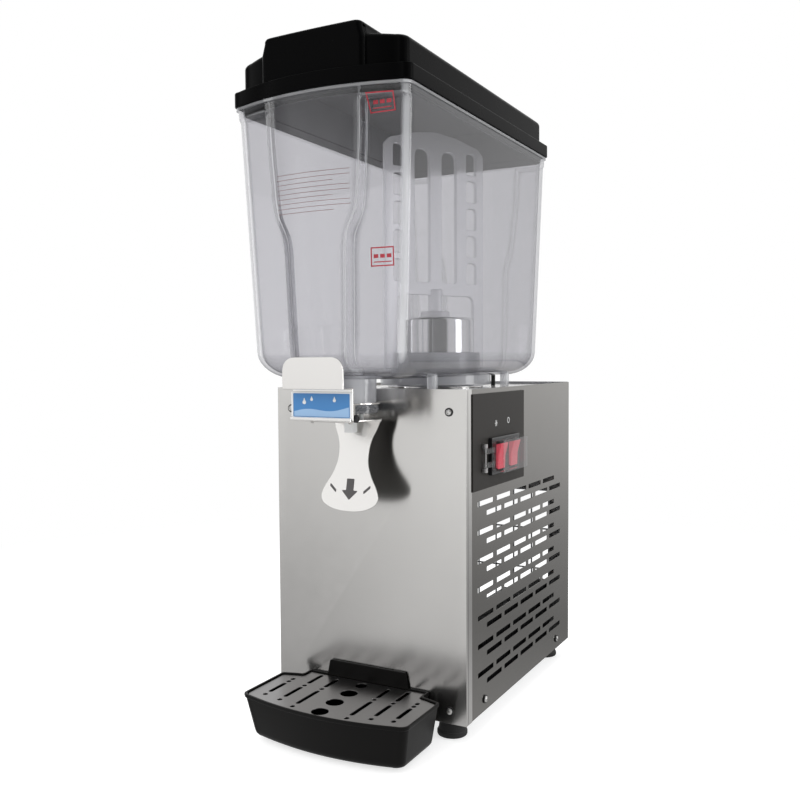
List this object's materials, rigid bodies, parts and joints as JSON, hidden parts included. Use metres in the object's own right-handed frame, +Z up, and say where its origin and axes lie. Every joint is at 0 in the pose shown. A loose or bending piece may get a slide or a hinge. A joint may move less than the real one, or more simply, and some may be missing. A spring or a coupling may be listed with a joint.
{
  "type": "cold beverage dispenser",
  "caption": "Countertop cold beverage dispenser: clear stirred bowl with black lid on a slotted steel cabinet, with push-lever tap, drip tray and covered rocker switches.",
  "frame": {"origin": "centre of the footprint box, on the table under the rubber feet", "axes": "+Z up, -Y towards the user at the tap and drip tray, +X towards the switches on the right side"},
  "size_m": [0.2278, 0.411, 0.6423],
  "materials": {
    "blackPaint": "black paint, semi-gloss",
    "blackPlastic": "moulded black plastic",
    "blue": "printed blue panel with a light frame",
    "brushed": "fine horizontal brushed stainless steel",
    "clear": "clear see-through plastic",
    "copper": "bare copper tube",
    "darkSteel": "satin dark control plate",
    "foam": "rigid insulation foam",
    "glossBlack": "glossy black plastic",
    "polished": "polished bright steel",
    "red": "glossy red, lit from inside",
    "rubber": "matt black rubber",
    "silicone": "pale silicone rubber",
    "white": "white food-safe plastic",
    "zinc": "dull zinc-plated sheet"
  },
  "bodies": {
    "cabinet": {"back_panel": "darkSteel", "base_pan": "zinc", "compressor": "blackPaint", "condenser": "blackPaint", "control_plate": "glossBlack", "cover_hinge": "blackPlastic", "evaporator_can": "polished", "evaporator_coil": "copper", "fan_motor": "blackPaint", "fan_shroud": "zinc", "filter_drier": "copper", "foot_front_left": "rubber", "foot_front_right": "rubber", "foot_rear_left": "rubber", "foot_rear_right": "rubber", "front_panel": "brushed", "front_screw_lower_left": "polished", "front_screw_lower_right": "polished", "front_screw_upper_left": "polished", "front_screw_upper_right": "polished", "insulation_block": "foam", "left_screw_front": "polished", "left_screw_rear": "polished", "left_side_panel": "darkSteel", "power_gland": "blackPlastic", "rear_guard": "polished", "right_screw_front": "polished", "right_screw_rear": "polished", "right_side_panel": "darkSteel", "stirrer_motor": "zinc", "suction_pipe": "copper", "switch_housing": "blackPlastic", "tank_buffer_left": "rubber", "tank_buffer_right": "rubber", "thermostat": "white", "top_deck": "darkSteel", "tray_runner_left": "zinc", "tray_runner_right": "zinc"},
    "tank": {"tank": "clear", "can_seal": "silicone", "spout_nut": "clear", "spout_nozzle": "white", "valve_seal": "silicone", "tap_bracket": "brushed", "sign_plate": "blue", "lever_pin": "blackPlastic"},
    "lid": {"lid": "blackPlastic"},
    "paddle": {"stirring_paddle": "white"},
    "drive": {"drive_magnet": "blackPaint"},
    "lever": {"push_lever": "brushed"},
    "plunger": {"valve_plunger": "white", "valve_spring": "polished"},
    "rocker_cooling": {"rocker_cooling": "red"},
    "rocker_stirring": {"rocker_stirring": "red"},
    "switch_cover": {"switch_cover": "clear"},
    "drip_tray": {"drip_tray": "blackPlastic"},
    "drip_grille": {"drip_grille": "brushed"},
    "fan": {"condenser_fan": "blackPlastic"}
  },
  "joints": [
    {"name": "tank_lift", "type": "slide", "parent": "cabinet", "child": "tank", "axis": [0, 0, 1], "range_m": [0, 0.1]},
    {"name": "lid_lift", "type": "slide", "parent": "tank", "child": "lid", "axis": [0, 0, 1], "range_m": [0, 0.12]},
    {"name": "paddle_spin", "type": "hinge", "parent": "tank", "child": "paddle", "pos_m": [-0.00645, 0.0435, 0.403], "axis": [0, 0, 1], "continuous": true},
    {"name": "drive_spin", "type": "hinge", "parent": "cabinet", "child": "drive", "pos_m": [-0.00645, 0.0435, 0.39], "axis": [0, 0, 1], "continuous": true},
    {"name": "lever_push", "type": "hinge", "parent": "tank", "child": "lever", "pos_m": [-0.00645, -0.1685, 0.305], "axis": [1, 0, 0], "range_deg": [0, 6.5], "stiffness_Nm_per_rad": 1.5},
    {"name": "plunger_lift", "type": "slide", "parent": "tank", "child": "plunger", "axis": [0, 0, 1], "range_m": [0, 0.0042], "deforming": ["valve_spring"]},
    {"name": "cooling_switch", "type": "hinge", "parent": "cabinet", "child": "rocker_cooling", "pos_m": [0.10395, -0.038, 0.264], "axis": [0, 1, 0], "range_deg": [-16, 0]},
    {"name": "stirring_switch", "type": "hinge", "parent": "cabinet", "child": "rocker_stirring", "pos_m": [0.10395, -0.005, 0.264], "axis": [0, 1, 0], "range_deg": [-16, 0]},
    {"name": "cover_flip", "type": "hinge", "parent": "cabinet", "child": "switch_cover", "pos_m": [0.10315, -0.072, 0.264], "axis": [0, 0, -1], "range_deg": [0, 100]},
    {"name": "tray_slide", "type": "slide", "parent": "cabinet", "child": "drip_tray", "axis": [0, -1, 0], "range_m": [0, 0.06]},
    {"name": "grille_lift", "type": "slide", "parent": "drip_tray", "child": "drip_grille", "axis": [0, 0, 1], "range_m": [0, 0.04]},
    {"name": "fan_spin", "type": "hinge", "parent": "cabinet", "child": "fan", "pos_m": [0.06465, 0.0335, 0.0598], "axis": [1, 0, 0], "continuous": true}
  ],
  "couplings": [
    {"joint": "drive_spin", "follows": "paddle_spin", "ratio": 1},
    {"joint": "plunger_lift", "follows": "lever_push", "m_per_rad": 0.036}
  ]
}
